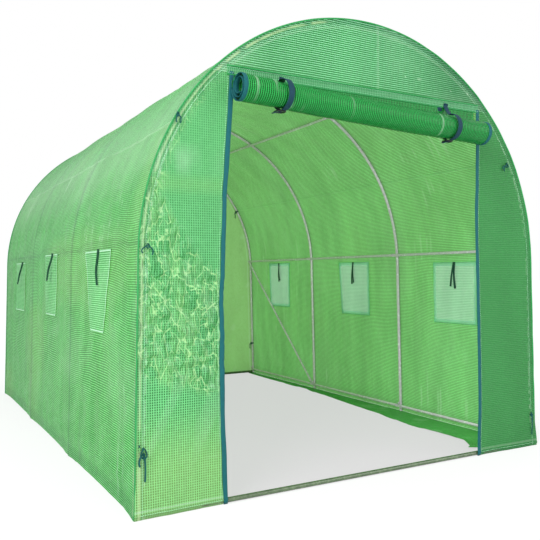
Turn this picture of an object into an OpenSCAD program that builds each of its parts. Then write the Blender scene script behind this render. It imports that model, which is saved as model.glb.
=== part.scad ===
// Polytunnel greenhouse: four steel hoops, tied by purlins, ground rails and braces,
// under a welded sheet cover with a rolled-up door and six small windows.
// Millimetres, +Z up, the front with the door faces -Y. The origin is on the ground,
// at the middle of the whole model's box.

/* [Frame] */
// Radius of a hoop's bent part, to the tube's centre line
arch_r = 1005; // [700:5:1400]
// Height of the centre of the hoops' bend
arch_z = 925; // [700:5:1300]
// Angle by which the straight legs lean outwards
leg_lean = 1.2; // [0:0.1:3]
// Distance from one hoop to the next
bay_l = 990; // [700:5:1300]
// Diameter of the hoops' tube and of the bars across the ends
tube_d = 19; // [14:0.5:30]
// Diameter of the purlins', rails' and braces' tube
rail_d = 16; // [12:0.5:24]
// Angle of the side purlins, seen from the bend's centre
side_purlin_a = 3.3; // [3:0.1:8]
// Angle of the roof purlins, where the side bows join the crown
roof_purlin_a = 61; // [45:1:70]
// Gap between the bars on the ground and the flattened ends of the ground rails
rail_gap = 3.7; // [1:0.1:20]
// Thickness of a tube's flattened end
tab_t = 2.4; // [1.5:0.1:4]
// Length of a tube's flattened end, from its bolt
tab_l = 38; // [25:1:60]

/* [Cover] */
// Thickness of the cover sheet
sheet_t = 2; // [1:0.5:4]
// Angle of the weld between side sheet and roof sheet, seen from the bend's centre
weld_a = 29.5; // [15:0.5:40]
// Diameter of the piping along the two end arches
piping_d = 6; // [4:0.5:10]
// Width of the tape that ties the cover to the end hoops
tie_w = 12; // [8:1:20]

/* [Door] */
// Clear width of the doorway
door_w = 1280; // [900:10:1500]
// Sideways place of the doorway's middle
door_x = -4; // [-60:5:60]
// Width of the binding along each side of the doorway
binding_w = 22; // [15:1:40]
// Width of front sheet left between the doorway's top corner and the arch
corner_w = 65; // [40:1:120]
// Height of the band sewn on over the doorway
band_h = 34; // [20:1:60]
// Diameter of the rolled-up door
roll_d = 130; // [90:1:160]
// Length of the rolled-up door
roll_l = 1278; // [900:1:1500]
// Sideways place of the roll's middle
roll_x = -10; // [-60:1:60]
// How far the roll's axis hangs under the doorway's head
roll_drop = 91; // [80:1:140]
// How much lower the roll's right end hangs than its left end
roll_fall = 53; // [0:1:80]
// Width of the straps that hold the roll
strap_w = 28; // [15:1:50]
// Distance from each end of the roll to its strap
strap_inset = 205; // [60:5:400]

/* [Windows] */
// Width of a window's panel
window_w = 340; // [200:5:500]
// Height of a window's panel
window_h = 345; // [200:5:500]
// How much a panel laps over the edge of its hole
window_lap = 28; // [15:1:60]
// Distance from the side purlins down to the windows' top
window_drop = 40; // [25:1:80]
// Length of the tapes that hang at a window's top
window_tie_l = 153; // [80:1:250]

/* [Hidden] */
$fn = 96;

steel_colour = "#b4b1bf";
side_colour = "#7cc481";
roof_colour = "#6cba78";
front_colour = "#6ec980";
dark_colour = "#2c7c46";
roll_colour = "#2a9d45";
teal_colour = "#0b6a70";
strap_colour = "#0a4f5c";
mint_colour = "#97d2a0";

seat = 0.3;                                  // gap between a piece and what it lies on
end_gap = 0.5;                               // gap between two lengths of one ground bar
tube_r = tube_d / 2;
rail_r = rail_d / 2;
tab_w = tube_d - 1;                          // flattened ends stay within the hoop's width
layer = tab_t + seat;                        // step from one flattened end to the next over it
hoop_count = 4;
bay_count = hoop_count - 1;

cover_in = arch_r + tube_r + seat;           // inner face of the cover, from the arch's centre
cover_out = cover_in + sheet_t;
end_in = tube_r + seat;                      // inner face of an end wall, from its hoop
end_out = end_in + sheet_t;
piping_r = piping_d / 2;
piping_reach = end_out - 1 + piping_r;       // furthest the piping stands beyond an end hoop

roll_r = roll_d / 2;
ply_t = 3;                                   // thickness of one turn of the rolled door
turn_gap = 8;                                // air between two turns of the roll
roll_turns = 3.25;
strap_t = 2;
roll_axis_y = -end_out - seat - roll_r;      // the roll's axis, from the front hoop
front_reach = -roll_axis_y + roll_r + 2 * seat + strap_t;
centre_y = (front_reach - piping_reach) / 2;  // moves the tunnel so that its box is centred
function hoop_y(i) = centre_y + (i - bay_count / 2) * bay_l;
front_y = hoop_y(0);
back_y = hoop_y(bay_count);

jamb_x = door_w / 2 + binding_w;             // edge of the front sheet, from the door's middle
head_rise = sqrt(pow(cover_out, 2) - pow(jamb_x + corner_w, 2));
head_z = arch_z + head_rise;                 // height of the doorway's head
flap_t = 2;                                  // the legs and bars stand on the turned-in flaps
bar_z = flap_t + seat + tube_r;
rail_z = bar_z + tube_r + rail_gap + tab_w / 2;
bar_slack = (bar_z + tube_r) * tan(leg_lean) + seat;  // the legs lean in over the bars' ends
band_lap = 8;                                // the band hangs this far below the doorway's head
band_bottom = head_z - band_lap;
band_t = ply_t;
roll_tilt = atan2(roll_fall, roll_l);
roll_mid_z = head_z - roll_drop;
function roll_z(x) = roll_mid_z - (x - roll_x) * tan(roll_tilt);
strap_x = [for (way = [-1, 1]) roll_x + way * (roll_l / 2 - strap_inset)];
window_t = 1.5;
tie_t = 1;
low_tie_z = 240;
outer_tie_rise = 40;                         // the outer tapes start this far over their window
// Share of half the tunnel's length, and width of the turned-in flap there.
flap_edge = [
    [1, 55], [0.48, 80], [0.09, 110], [-0.49, 219], [-0.84, 229], [-0.87, 292], [-0.945, 315]
];
purlin_z = arch_z + arch_r * sin(side_purlin_a);
window_top = purlin_z - window_drop;
window_sill = window_top - window_h;
// How far along a leg a height lies under the joint of leg and bow, for a line at radius r.
function down(z, r = arch_r) = (arch_z + r * sin(leg_lean) - z) / cos(leg_lean);
// How far from the middle a leg's line at radius r meets the ground.
function foot_x(r) = r / cos(leg_lean) + arch_z * tan(leg_lean);
function bay_mid(i) = hoop_y(i) + bay_l / 2;

// ---- shared shapes ----

// A flat strip of thickness t that follows a line of points.
function unit(v) = v / norm(v);
function along(p, i) = unit(p[min(i + 1, len(p) - 1)] - p[max(i - 1, 0)]);
function side_of(p, i, d) = p[i] + d * [-along(p, i)[1], along(p, i)[0]];
module ribbon(p, t) {
    last = len(p) - 1;
    polygon(concat(
        [for (i = [0:last]) side_of(p, i, t / 2)],
        [for (i = [last:-1:0]) side_of(p, i, -t / 2)]
    ));
}

// An arc about the bend's centre, of a profile drawn as [radius, -y].
module arch_sweep(from_a, to_a) {
    translate([0, 0, arch_z]) rotate([90, 0, 0]) rotate([0, 0, from_a])
        rotate_extrude(angle = to_a - from_a) children();
}

// The line of a right leg: +X is outwards from the bend's centre, and z = 0 is at its joint
// with the bow.
module leg_frame() {
    translate([0, 0, arch_z]) rotate([0, -leg_lean, 0]) children();
}

// The inside of the tunnel's section out to radius r, as an outline in x and z.
module arch_outline(r) {
    joint = [r * cos(leg_lean), arch_z + r * sin(leg_lean)];
    intersection() {
        translate([0, arch_z]) circle(r = r, $fn = 240);
        translate([-r, joint[1]]) square([2 * r, r]);
    }
    polygon([[-foot_x(r), 0], [foot_x(r), 0], joint, [-joint[0], joint[1]]]);
}

// An outline in x and z, stood up as a sheet with its outer face at y.
module end_sheet(y) {
    translate([0, y, 0]) rotate([90, 0, 0]) linear_extrude(sheet_t) children();
}

// Where a piece lies on the inside of the hoops: +X runs along the tunnel, +Z inwards, and
// the origin is on the tube's inner face at angle a, or so far down the leg from there.
module inner_place(a, below = 0) {
    translate([0, 0, arch_z]) rotate([0, -a, 0]) translate([arch_r - tube_r, 0, -below])
        rotate([0, -90, 0]) rotate([0, 0, 90]) children();
}

module on_side(side) {
    if (side < 0) mirror([1, 0, 0]) children();
    else children();
}

// A tube with flattened ends, along +X from bolt to bolt. Each flat end is lifted by its own
// number of layers off the face at height 0.
module flat_ended_tube(length, layer_a, layer_b) {
    inside = tab_w / 2;                      // how far the round tube reaches over the flat end
    for (end = [[0, 0, layer_a], [length, -tab_l, layer_b]])
        translate([end[0], 0, seat + end[2] * layer]) {
            cylinder(d = tab_w, h = tab_t);
            translate([end[1], -tab_w / 2, 0]) cube([tab_l, tab_w, tab_t]);
        }
    translate([tab_l - inside, 0, seat + (layer_a + layer_b) * layer / 2 + tab_t / 2])
        rotate([0, 90, 0]) cylinder(r = rail_r, h = length - 2 * (tab_l - inside));
}

// One length of tube in each bay, with its flat ends lapped at the inner hoops.
module tube_run(side, a, below = 0) {
    color(steel_colour) on_side(side)
        for (i = [0:bay_count - 1])
            translate([0, hoop_y(i), 0]) inner_place(a, below)
                flat_ended_tube(bay_l, 0, i < bay_count - 1 ? 1 : 0);
}

// ---- frame ----

module hoop_legs(i) {
    leg_l = down(flap_t, arch_r - tube_r);
    color(steel_colour)
        for (side = [-1, 1])
            on_side(side) translate([0, hoop_y(i), 0]) leg_frame()
                translate([arch_r, 0, -leg_l]) cylinder(r = tube_r, h = leg_l);
}

module bow(i, from_a, to_a) {
    translate([0, hoop_y(i), 0]) arch_sweep(from_a, to_a)
        translate([arch_r, 0]) circle(r = tube_r);
}

module hoop_bows(i) {
    color(steel_colour)
        for (side = [-1, 1])
            on_side(side) bow(i, leg_lean, roof_purlin_a);
}

module hoop_crown(i) {
    color(steel_colour) bow(i, roof_purlin_a, 180 - roof_purlin_a);
}

module ground_bar(i) {
    color(steel_colour)
        for (side = [-1, 1])
            on_side(side) translate([end_gap / 2, hoop_y(i), bar_z]) rotate([0, 90, 0])
                cylinder(r = tube_r, h = foot_x(arch_r - tube_r) - bar_slack - end_gap / 2);
}

// The upper end lies over the purlin's flat end, where the bow has begun to curve inwards.
module brace(side) {
    rise = down(rail_z) + arch_r * sin(side_purlin_a - leg_lean);
    color(steel_colour) on_side(side) translate([0, hoop_y(bay_count - 1), 0])
        inner_place(leg_lean, down(rail_z)) rotate([0, 0, -atan2(rise, bay_l)])
            flat_ended_tube(norm([rise, bay_l]), 2, 1.6);
}

// Tapes round the inside of the end hoops, above the ground and at the welds.
module hoop_ties() {
    wrap_a = 110;
    color(teal_colour)
        for (i = [0, bay_count], side = [-1, 1], at = [[leg_lean, down(low_tie_z)], [weld_a, 0]])
            on_side(side) translate([0, hoop_y(i), 0]) inner_place(at[0], at[1])
                translate([0, tie_w / 2, -tube_r]) rotate([90, 0, 0])
                    rotate([0, 0, 90 - wrap_a / 2]) rotate_extrude(angle = wrap_a)
                        translate([tube_r + seat, 0]) square([tie_t, tie_w]);
}

// ---- cover over the hoops ----

cover_front = front_y - tube_r;
cover_l = back_y + tube_r - cover_front;

module wall_cover(side) {
    hole_w = window_w - 2 * window_lap;
    hole_h = window_h - 2 * window_lap;
    wall_l = down(0, cover_in);
    color(side_colour) on_side(side) leg_frame() difference() {
        translate([cover_in, cover_front, -wall_l]) cube([sheet_t, cover_l, wall_l]);
        for (i = [0:bay_count - 1])
            translate([cover_in - 1, bay_mid(i) - hole_w / 2, -down(window_sill + window_lap)])
                cube([sheet_t + 2, hole_w, hole_h]);
    }
}

module arch_cover(from_a, to_a) {
    arch_sweep(from_a, to_a)
        translate([cover_in, -cover_front - cover_l]) square([sheet_t, cover_l]);
}

module shoulder_cover(side) {
    color(side_colour) on_side(side) arch_cover(leg_lean, weld_a);
}

module roof_cover(side) {
    color(roof_colour) on_side(side) arch_cover(weld_a, roof_purlin_a);
}

module crown_cover() {
    color(roof_colour) arch_cover(roof_purlin_a, 180 - roof_purlin_a);
}

module ground_flap(side) {
    half = cover_l / 2;
    mid_y = cover_front + half;
    outer = foot_x(cover_in) - seat;
    color(side_colour) on_side(side) linear_extrude(flap_t) polygon(concat(
        [[outer, cover_front], [outer, mid_y + half]],
        [for (p = flap_edge) [outer - p[1], mid_y + p[0] * half]],
        [[jamb_x + side * door_x, cover_front]]
    ));
}

// ---- end walls ----

module front_side_cover(side) {
    color(front_colour) end_sheet(front_y - end_in) intersection() {
        arch_outline(cover_out);
        translate([side > 0 ? door_x + jamb_x : door_x - jamb_x - arch_r, 0])
            square([arch_r, head_z]);
    }
}

module front_header_cover() {
    color(front_colour) end_sheet(front_y - end_in) intersection() {
        arch_outline(cover_out);
        translate([-cover_out, head_z]) square([2 * cover_out, cover_out]);
    }
}

module back_wall_cover() {
    color(front_colour) end_sheet(back_y + end_out) arch_outline(cover_out);
}

module edge_piping() {
    reach = cover_out + piping_r + seat;
    out = end_out - 1;
    piping_l = down(0, reach - piping_r);
    color(dark_colour)
        for (y = [front_y - out, back_y + out]) {
            translate([0, y, 0]) arch_sweep(leg_lean, 180 - leg_lean)
                translate([reach, 0]) circle(r = piping_r);
            for (side = [-1, 1])
                on_side(side) leg_frame() translate([reach, y, -piping_l])
                    cylinder(r = piping_r, h = piping_l - seat);
        }
}

// ---- doorway ----

module door_bindings() {
    color(teal_colour)
        for (side = [-1, 1])
            translate([door_x + (side > 0 ? door_w / 2 : -jamb_x), front_y - end_out, 0])
                cube([binding_w, sheet_t, head_z]);
}

module header_band() {
    color(dark_colour) translate([door_x - jamb_x, front_y - end_out - seat - band_t, band_bottom])
        cube([2 * jamb_x, band_t, band_h]);
}

// The roll's own frame: +X along its axis, and its sections are drawn as [y, z].
module roll_place(x) {
    translate([roll_x, front_y + roll_axis_y, roll_mid_z]) rotate([0, roll_tilt, 0])
        translate([x - roll_x, 0, 0]) rotate([90, 0, 90]) children();
}

// The door's sheet hangs from the band and winds under and round itself.
module door_roll() {
    steps = 24 * roll_turns;
    centre_r = roll_r - ply_t / 2;
    turns = [for (i = [0:steps]) let (t = i / 24, r = centre_r - t * (ply_t + turn_gap))
        r * [cos(360 * t), -sin(360 * t)]];
    roll_left = roll_x - roll_l / 2;
    roll_right = roll_x + roll_l / 2;
    lap = 5;                                 // the hanging sheet runs into the outer turn
    color(roll_colour) {
        roll_place(roll_left) linear_extrude(roll_l) ribbon(turns, ply_t);
        translate([0, front_y + roll_axis_y + roll_r, 0]) rotate([90, 0, 0])
            linear_extrude(ply_t) polygon([
                [roll_left, roll_z(roll_left) - lap], [roll_right, roll_z(roll_right) - lap],
                [roll_right, band_bottom - seat], [roll_left, band_bottom - seat]
            ]);
    }
}

// Each strap hangs from the band, passes over the roll's front, under it, and up behind it.
module roll_straps() {
    ring_r = roll_r + 2 * seat + strap_t / 2;
    top_y = -end_out - 2 * seat - band_t - strap_t / 2 - roll_axis_y;
    color(strap_colour)
        for (x = strap_x) {
            top = band_bottom + band_h - 4 - roll_z(x);
            bend = [top_y, band_bottom - roll_z(x)];
            from_a = atan2(bend[1], bend[0]) + acos(ring_r / norm(bend));
            back_top = head_z - roll_z(x) - 2;
            turns = [for (i = [0:24]) let (a = from_a + (360 - from_a) * i / 24)
                ring_r * [cos(a), sin(a)]];
            roll_place(x) translate([0, 0, -strap_w / 2]) linear_extrude(strap_w)
                ribbon(concat([[top_y, top], bend], turns, [[ring_r, back_top]]), strap_t);
        }
}

// ---- windows ----

module windows(side) {
    color(mint_colour) on_side(side) leg_frame()
        for (i = [0:bay_count - 1])
            translate([cover_out + seat, bay_mid(i) - window_w / 2, -down(window_sill)])
                cube([window_t, window_w, window_h]);
}

// Over each window a tape hangs outside, and two hang inside, spread like a V.
module window_ties() {
    splay_a = 9;
    color(strap_colour)
        for (side = [-1, 1], i = [0:bay_count - 1])
            on_side(side) leg_frame() translate([0, bay_mid(i), -down(window_top)]) {
                translate([cover_out + 2 * seat + window_t, -tie_w / 2, outer_tie_rise - window_tie_l])
                    cube([tie_t, tie_w, window_tie_l]);
                translate([cover_in - seat - tie_t, 0, 0])
                    for (way = [-1, 1])
                        rotate([way * splay_a, 0, 0]) translate([0, -tie_w / 2, -window_tie_l])
                            cube([tie_t, tie_w, window_tie_l]);
            }
}

hoop_legs(0);  // front_hoop_legs
hoop_bows(0);  // front_hoop_bows
hoop_crown(0);  // front_hoop_crown
hoop_legs(1);  // second_hoop_legs
hoop_bows(1);  // second_hoop_bows
hoop_crown(1);  // second_hoop_crown
hoop_legs(2);  // third_hoop_legs
hoop_bows(2);  // third_hoop_bows
hoop_crown(2);  // third_hoop_crown
hoop_legs(3);  // back_hoop_legs
hoop_bows(3);  // back_hoop_bows
hoop_crown(3);  // back_hoop_crown
tube_run(-1, side_purlin_a);  // left_side_purlin
tube_run(1, side_purlin_a);  // right_side_purlin
tube_run(-1, roof_purlin_a);  // left_roof_purlin
tube_run(1, roof_purlin_a);  // right_roof_purlin
tube_run(-1, leg_lean, down(rail_z));  // left_ground_rail
tube_run(1, leg_lean, down(rail_z));  // right_ground_rail
ground_bar(0);  // front_ground_bar
ground_bar(bay_count);  // back_ground_bar
brace(-1);  // left_brace
brace(1);  // right_brace
hoop_ties();
wall_cover(-1);  // left_wall_cover
wall_cover(1);  // right_wall_cover
shoulder_cover(-1);  // left_shoulder_cover
shoulder_cover(1);  // right_shoulder_cover
roof_cover(-1);  // left_roof_cover
roof_cover(1);  // right_roof_cover
crown_cover();
front_side_cover(-1);  // front_left_cover
front_side_cover(1);  // front_right_cover
front_header_cover();
back_wall_cover();
edge_piping();
door_bindings();
header_band();
door_roll();
roll_straps();
windows(-1);  // left_windows
windows(1);  // right_windows
window_ties();
ground_flap(-1);  // left_ground_flap
ground_flap(1);  // right_ground_flap
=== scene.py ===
"""Looks of the polytunnel greenhouse: wrinkled sheets on the steel hoops, in metres, front towards -Y."""
from math import asin, cos, pi, radians, sin, tan

import bpy
import numpy as np
from mathutils import Matrix, Vector


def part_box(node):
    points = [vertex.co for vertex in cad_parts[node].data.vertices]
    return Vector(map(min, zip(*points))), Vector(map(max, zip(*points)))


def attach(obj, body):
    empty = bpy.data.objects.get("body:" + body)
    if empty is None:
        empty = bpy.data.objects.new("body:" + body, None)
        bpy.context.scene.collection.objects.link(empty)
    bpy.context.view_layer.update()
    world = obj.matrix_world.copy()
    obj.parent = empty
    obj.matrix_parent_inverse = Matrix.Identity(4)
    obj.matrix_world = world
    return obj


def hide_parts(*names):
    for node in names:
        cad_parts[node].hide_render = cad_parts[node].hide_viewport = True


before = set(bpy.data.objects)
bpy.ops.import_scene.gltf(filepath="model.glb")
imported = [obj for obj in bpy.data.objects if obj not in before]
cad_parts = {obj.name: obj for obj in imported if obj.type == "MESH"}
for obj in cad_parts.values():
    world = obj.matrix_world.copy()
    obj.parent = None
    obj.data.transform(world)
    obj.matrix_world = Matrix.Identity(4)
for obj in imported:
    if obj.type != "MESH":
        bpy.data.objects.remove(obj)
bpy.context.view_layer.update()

BODY = "root"


# ---- measures, read from the CAD nodes ----

HOOPS = ("front", "second", "third", "back")
SIDE_NAMES = {-1: "left", 1: "right"}
LEAN = radians(1.2)  # the legs lean outwards
WELD_A = radians(29.5)  # weld between side and roof sheets, over the horizontal
ROOF_PURLIN_A = radians(61)
SIDE_PURLIN_A = radians(3.3)
SHEET_T = 0.002  # the CAD cover's thickness


def node_mid(node, axis):
    low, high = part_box(node)
    return (low[axis] + high[axis]) / 2


HOOP_Y = [node_mid(f"{hoop}_hoop_legs", 1) for hoop in HOOPS]
BAY_MID = [(a + b) / 2 for a, b in zip(HOOP_Y, HOOP_Y[1:])]
BAY = HOOP_Y[1] - HOOP_Y[0]
TUBE_R = HOOP_Y[0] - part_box("front_hoop_legs")[0].y
ARCH_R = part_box("front_hoop_bows")[1].x / cos(LEAN) - TUBE_R
ARCH_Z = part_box("front_hoop_crown")[1].z - ARCH_R - TUBE_R
COVER_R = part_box("crown_cover")[1].z - ARCH_Z - SHEET_T / 2
COVER_TOP = ARCH_Z + COVER_R
END_GAP = HOOP_Y[0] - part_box("front_header_cover")[0].y - SHEET_T / 2  # hoop to end sheet
FRONT_Y, BACK_Y = HOOP_Y[0] - END_GAP, HOOP_Y[3] + END_GAP
HEAD_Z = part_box("front_header_cover")[0].z  # head of the doorway
JAMB_LEFT, JAMB_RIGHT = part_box("door_bindings")[0].x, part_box("door_bindings")[1].x
BAND_LOW, BAND_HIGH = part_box("header_band")
ROLL_LOW, ROLL_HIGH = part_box("door_roll")
WINDOW_LOW, WINDOW_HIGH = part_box("right_windows")
WINDOW_HALF = WINDOW_HIGH.y - BAY_MID[2]
WINDOW_LAP = 0.006  # a panel laps this far over its hole's edge

JOINT_G = (pi / 2 - LEAN) * COVER_R  # girth, from the crown's top, to the legs
FOOT_G = JOINT_G + (ARCH_Z + COVER_R * sin(LEAN)) / cos(LEAN)
WELD_G = (pi / 2 - WELD_A) * COVER_R
WELD_LAP = 0.0015

GROUND = 0.0015  # the sheets' lowest edge over the floor
MESH_STEP = 0.011  # between the large sheets' mesh lines
MOST_INWARD = 0.0102  # further in, the cover would cut the rails


def section(girth, out=0.0):
    """x and z of the cover's section, at a girth from the crown's top and so far outside the sheet."""
    side, g = np.sign(girth), np.abs(girth)
    angle = pi / 2 - np.minimum(g, JOINT_G) / COVER_R
    below = np.maximum(g - JOINT_G, 0)
    r = COVER_R + out
    x = r * np.cos(angle) + below * sin(LEAN)
    return side * x, ARCH_Z + r * np.sin(angle) - below * cos(LEAN)


def wall_girth(z):
    """The girth at height z on a straight side wall."""
    return JOINT_G + (ARCH_Z + COVER_R * sin(LEAN) - z) / cos(LEAN)


def half_width(z):
    """Half the covered arch's width at height z."""
    z = np.asarray(z, float)
    joint_z = ARCH_Z + COVER_R * sin(LEAN)
    on_arc = np.sqrt(np.maximum(COVER_R * COVER_R - (z - ARCH_Z) ** 2, 0))
    on_leg = COVER_R * cos(LEAN) + (joint_z - z) * tan(LEAN)
    return np.where(z > joint_z, on_arc, on_leg)


def on_hoop(side, y, angle, below, r):
    """A place on a hoop, at an angle over the horizontal or so far down the leg, and its way outwards."""
    radial = np.array([side * cos(angle), 0, sin(angle)])
    down = np.array([side * sin(LEAN), 0, -cos(LEAN)])
    return np.array([0, y, ARCH_Z]) + r * radial + below * down, radial


# ---- wrinkles ----

def noise(x, y, seed):
    """Smooth noise from -1 to 1 with features one unit wide."""
    table = np.random.default_rng(seed).uniform(-1, 1, (64, 64))
    i, j = np.floor(x).astype(int), np.floor(y).astype(int)
    u, v = x - i, y - j
    u, v = u * u * (3 - 2 * u), v * v * (3 - 2 * v)
    low = table[i % 64, j % 64] * (1 - u) + table[(i + 1) % 64, j % 64] * u
    high = table[i % 64, (j + 1) % 64] * (1 - u) + table[(i + 1) % 64, (j + 1) % 64] * u
    return low * (1 - v) + high * v


def rough(x, y, size, seed):
    """Three layers of noise, the widest of that size in metres."""
    total, gain = 0, 1
    for k in range(3):
        total = total + gain * noise(x / size * 2**k + 7.3 * k, y / size * 2**k + 3.1 * k, seed + k)
        gain *= 0.5
    return total / 1.75


def crumple(x, y, size, seed, folds=7):
    """Flat facets between sharp creases, about -1 to 1, like cloth that was packed in a bag."""
    rng = np.random.default_rng(seed)
    bend = 0.55 * size
    wx = x + bend * noise(x / size / 1.9, y / size / 1.9, seed + 1)
    wy = y + bend * noise(x / size / 1.9, y / size / 1.9, seed + 2)
    total, weight = 0, 0
    for _ in range(folds):
        angle, wave, shift = rng.uniform(0, pi), size * rng.uniform(0.6, 1.9), rng.uniform()
        step = (wx * cos(angle) + wy * sin(angle)) / wave + shift
        total = total + wave * (4 * np.abs(step % 1 - 0.5) - 1)
        weight += wave
    return 1.8 * total / weight


def facets(x, y, size, seed):
    """How each flat facet of crumpled cloth leans, about -2 to 2."""
    step = 0.004
    slope = crumple(x, y, size, seed) - crumple(x + step, y + step, size, seed)
    return slope / (np.std(slope) + 1e-9)


def bump(x, middle, width):
    """1 at the middle, falling to 0 a width away."""
    t = np.clip(np.abs(x - middle) / width, 0, 1)
    return (1 - t * t) ** 2


def ramp(x, low, high):
    """0 up to low and 1 from high on, with soft ends."""
    t = np.clip((x - low) / (high - low), 0, 1)
    return t * t * (3 - 2 * t)


def between_hoops(y):
    """0 at each hoop and beyond the end ones, 1 in the middle of a bay."""
    phase = np.clip((y - HOOP_Y[0]) / BAY, 0, 3)
    return np.sin(pi * (phase % 1)) ** 0.7


# ---- meshes ----

def pile(*parts):
    """Numbers or arrays side by side as the last axis of one array."""
    return np.stack(np.broadcast_arrays(*parts), axis=-1)


def add_mesh(name, points, faces, material, uv=None, marks_and_light=None, smooth=True):
    mesh = bpy.data.meshes.new(name)
    mesh.from_pydata(np.asarray(points, float).tolist(), [], [list(map(int, f)) for f in faces])
    if uv is not None:
        corner = np.empty(len(mesh.loops), np.int32)
        mesh.loops.foreach_get("vertex_index", corner)
        layer = mesh.uv_layers.new(name="Weave")
        layer.data.foreach_set("uv", np.asarray(uv, np.float32)[corner].ravel())
    if marks_and_light is not None:
        colour = np.ones((len(points), 4), np.float32)
        colour[:, :np.shape(marks_and_light)[1]] = marks_and_light
        # The attribute holds the cloth's own marks and also painted light and shade.
        attribute = mesh.color_attributes.new("MarksAndPaintedLight", "FLOAT_COLOR", "POINT")
        attribute.data.foreach_set("color", colour.ravel())
    if smooth:
        mesh.shade_smooth()
    return add_object(name, mesh, material)


def add_object(name, data, material=None):
    if material:
        data.materials.append(material)
    piece = bpy.data.objects.new(name, data)
    bpy.context.scene.collection.objects.link(piece)
    return piece


def grid_faces(rows, cols, keep=None):
    i, j = np.meshgrid(np.arange(rows - 1), np.arange(cols - 1), indexing="ij")
    a = i * cols + j
    quads = np.stack([a, a + 1, a + cols + 1, a + cols], axis=-1)
    return quads[keep] if keep is not None else quads.reshape(-1, 4)


def add_sheet(name, a, b, place, material, marks_and_light=None, keep=None, uv=None, flip=False):
    """A sheet on the lines a by b of its cut. place gives x, y and z; the marks give pale, dark and yellow
    shares, the cloth's own marks together with painted light and shade.
    """
    A, B = np.meshgrid(a, b, indexing="ij")
    faces = grid_faces(len(a), len(b), keep)
    marks = pile(*marks_and_light(A, B)).reshape(A.size, -1) if marks_and_light else np.zeros((A.size, 3))
    return add_mesh(
        name, pile(*place(A, B)).reshape(-1, 3), faces[:, ::-1] if flip else faces, material,
        pile(*(uv(A, B) if uv else (A, B))).reshape(-1, 2), np.clip(marks, 0, 1))


def lines(low, high, step, *edges):
    """Values from low to high about a step apart, that hit every edge between them."""
    stops = sorted([low, high, *[e for e in edges if low < e < high]])
    parts = [np.linspace(p, q, max(2, round((q - p) / step) + 1))[:-1] for p, q in zip(stops, stops[1:])]
    return np.concatenate([*parts, [high]])


def unit(v):
    return v / np.maximum(np.linalg.norm(v, axis=-1, keepdims=True), 1e-12)


def sweep(path, across, outline, closed=False):
    """Points and faces of an outline swept along a path. The outline's first number goes along across."""
    path = np.asarray(path, float)
    if closed:
        tangent = unit(np.roll(path, -1, 0) - np.roll(path, 1, 0))
    else:
        tangent = unit(np.gradient(path, axis=0))
    across = np.broadcast_to(np.asarray(across, float), path.shape)
    across = unit(across - (across * tangent).sum(1, keepdims=True) * tangent)
    normal = np.cross(tangent, across)
    n, m = len(path), np.shape(outline)[-2]
    outline = np.broadcast_to(outline, (n, m, 2))
    points = path[:, None] + across[:, None] * outline[..., :1] + normal[:, None] * outline[..., 1:]
    faces = []
    for i in range(n if closed else n - 1):
        k = (i + 1) % n
        faces += [(i * m + j, i * m + (j + 1) % m, k * m + (j + 1) % m, k * m + j) for j in range(m)]
    if not closed:
        faces += [tuple(range(m))[::-1], tuple(range((n - 1) * m, n * m))]
    return points.reshape(-1, 3), faces


def joined(lots):
    """Several lots of points and faces as one."""
    faces, start = [], 0
    for points, some in lots:
        faces += [tuple(start + i for i in face) for face in some]
        start += len(points)
    return np.concatenate([points for points, _ in lots]), faces


def circle(steps):
    """Angles of equal steps all the way round."""
    return np.arange(steps) * 2 * pi / steps


def oval(width, thick, steps):
    """A flat outline with rounded edges."""
    x, y = np.cos(circle(steps)), np.sin(circle(steps))
    return pile(width / 2 * np.sign(x) * np.abs(x) ** 0.55, thick / 2 * np.sign(y) * np.abs(y) ** 0.55)


def ring(radius, steps):
    return radius * pile(np.cos(circle(steps)), np.sin(circle(steps)))


def curve_through(points, count):
    """A smooth line through a few points, as count points."""
    p = np.asarray(points, float)
    p = np.concatenate([[2 * p[0] - p[1]], p, [2 * p[-1] - p[-2]]])
    out = []
    for t in np.linspace(0, len(p) - 3 - 1e-9, count):
        i, u = int(t) + 1, t - int(t)
        a, b, c, d = p[i - 1 : i + 3]
        out.append(0.5 * (2 * b + (c - a) * u + (2 * a - 5 * b + 4 * c - d) * u**2
                          + (3 * b - a - 3 * c + d) * u**3))
    return np.array(out)


def finish_piece(piece, slot, *nodes):
    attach(piece, BODY)
    if nodes:
        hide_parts(*nodes)
    return piece


def add_lots(name, lots, material, slot, *nodes, smooth=True):
    """One finished piece from several lots of points and faces."""
    return finish_piece(add_mesh(name, *joined(lots), material, smooth=smooth), slot, *nodes)


# ---- materials ----

def rgb(text):
    """The linear colour of #rrggbb."""
    parts = [int(text[i : i + 2], 16) / 255 for i in (1, 3, 5)]
    return tuple(c / 12.92 if c <= 0.04045 else ((c + 0.055) / 1.055) ** 2.4 for c in parts) + (1,)


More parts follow.
